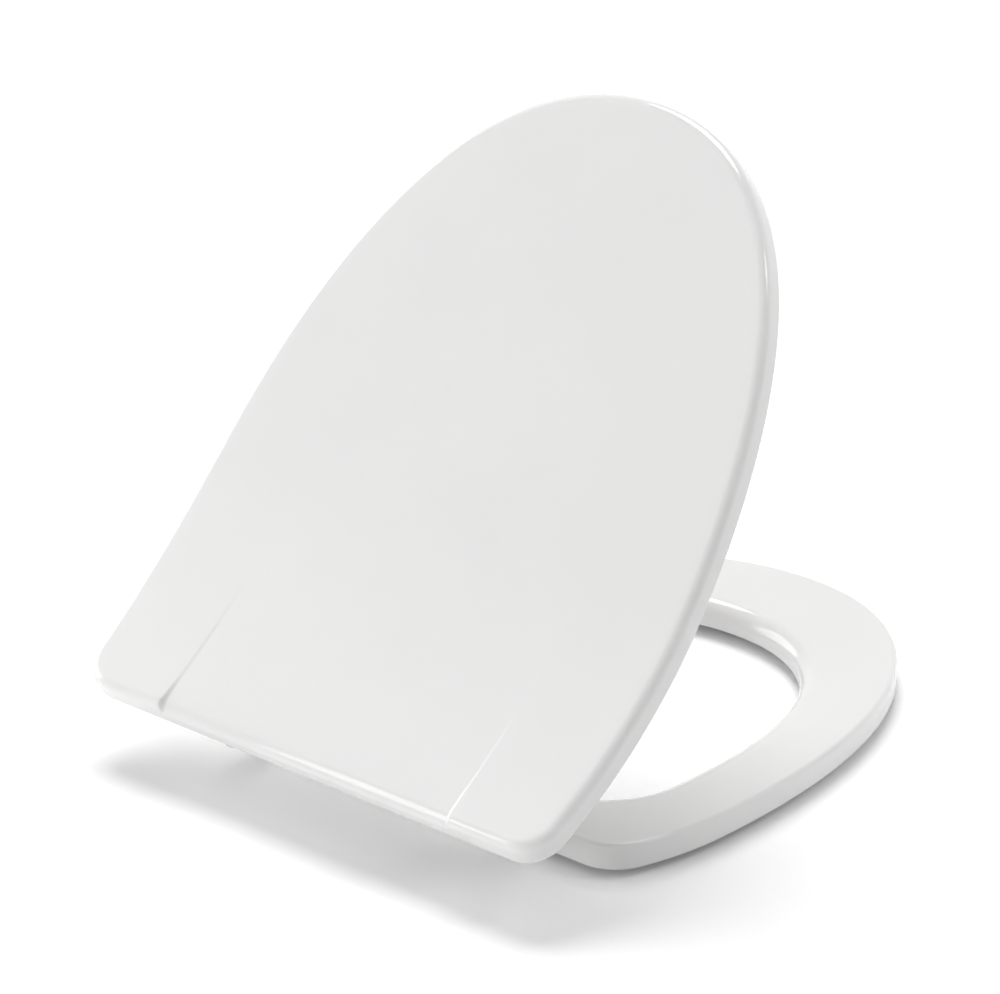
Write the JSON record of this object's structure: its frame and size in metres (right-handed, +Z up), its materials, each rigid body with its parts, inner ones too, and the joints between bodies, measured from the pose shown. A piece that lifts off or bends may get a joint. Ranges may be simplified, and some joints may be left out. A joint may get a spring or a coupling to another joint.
{
  "type": "toilet seat",
  "caption": "White toilet seat with an oval ring, buffers and a half-open lid whose rear sweeps up over a hinge that drops on studs of the bowl.",
  "frame": {"origin": "midway between the two hub sockets, on the plane of their mouths", "axes": "+X across the seat, +Y to the rear behind the hinge, +Z up; the hinge axis runs along X above the origin"},
  "size_m": [0.3752, 0.4545, 0.3726],
  "materials": {
    "white_thermoset": "gloss",
    "stainless": "brushed",
    "bearing_plastic": "matt",
    "buffer_rubber": "matt"
  },
  "bodies": {
    "hinge": {"hinge_hub_left": "stainless", "hub_grub_screw_left": "stainless", "ring_pin_left": "stainless", "lid_pin_left": "stainless", "hinge_hub_right": "stainless", "hub_grub_screw_right": "stainless", "ring_pin_right": "stainless", "lid_pin_right": "stainless"},
    "ring": {"seat_ring": "white_thermoset", "ring_bush_left": "bearing_plastic", "ring_buffer_front_left": "buffer_rubber", "ring_buffer_rear_left": "buffer_rubber", "ring_bush_right": "bearing_plastic", "ring_buffer_front_right": "buffer_rubber", "ring_buffer_rear_right": "buffer_rubber"},
    "lid": {"lid": "white_thermoset", "lid_damper_left": "bearing_plastic", "lid_buffer_left": "buffer_rubber", "lid_damper_right": "bearing_plastic", "lid_buffer_right": "buffer_rubber"}
  },
  "joints": [
    {"name": "ring_hinge", "type": "hinge", "parent": "hinge", "child": "ring", "pos_m": [0, 0, 0.0095], "axis": [-1, 0, 0], "range_deg": [0, 95]},
    {"name": "lid_hinge", "type": "hinge", "parent": "ring", "child": "lid", "pos_m": [0, 0, 0.0095], "axis": [-1, 0, 0], "range_deg": [-51.3, 53.7]}
  ]
}
